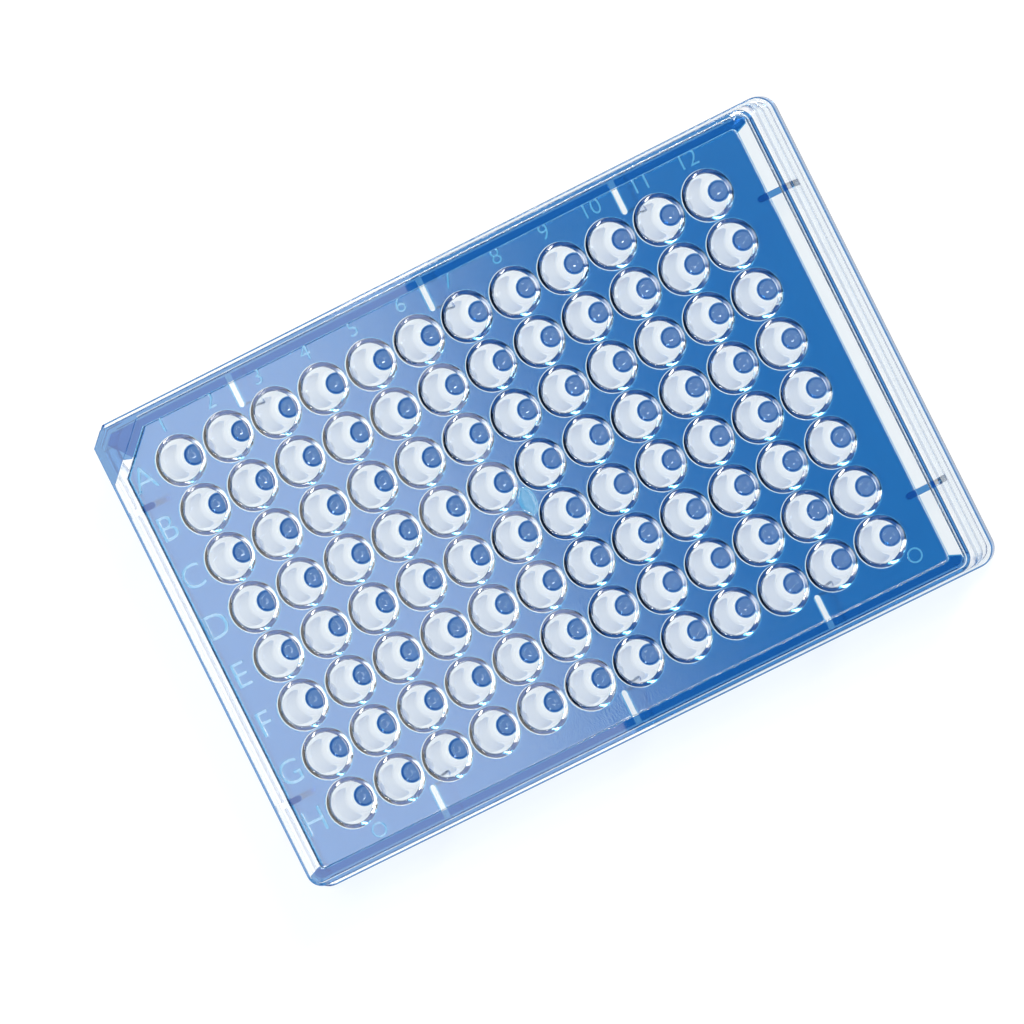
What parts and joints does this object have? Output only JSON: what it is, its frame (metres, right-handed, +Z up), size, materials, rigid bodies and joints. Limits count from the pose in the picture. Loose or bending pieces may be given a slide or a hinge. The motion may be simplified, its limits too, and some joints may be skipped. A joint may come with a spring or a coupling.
{
  "type": "microplate",
  "caption": "Clear moulded well plate: a grid of round-bottomed wells hanging from a framed deck on a flanged skirt, with one cut corner for orientation.",
  "frame": {"origin": "centre of the footprint, on the surface that the flange stands on", "axes": "+X along the rows from column 1 to column 12, +Y across them towards row A, +Z up out of the wells' mouths"},
  "size_m": [0.1278, 0.0854, 0.0143],
  "materials": {
    "clear_polystyrene": "clear gloss, blue tint"
  },
  "bodies": {
    "root": {"well_plate": "clear_polystyrene"}
  },
  "joints": []
}
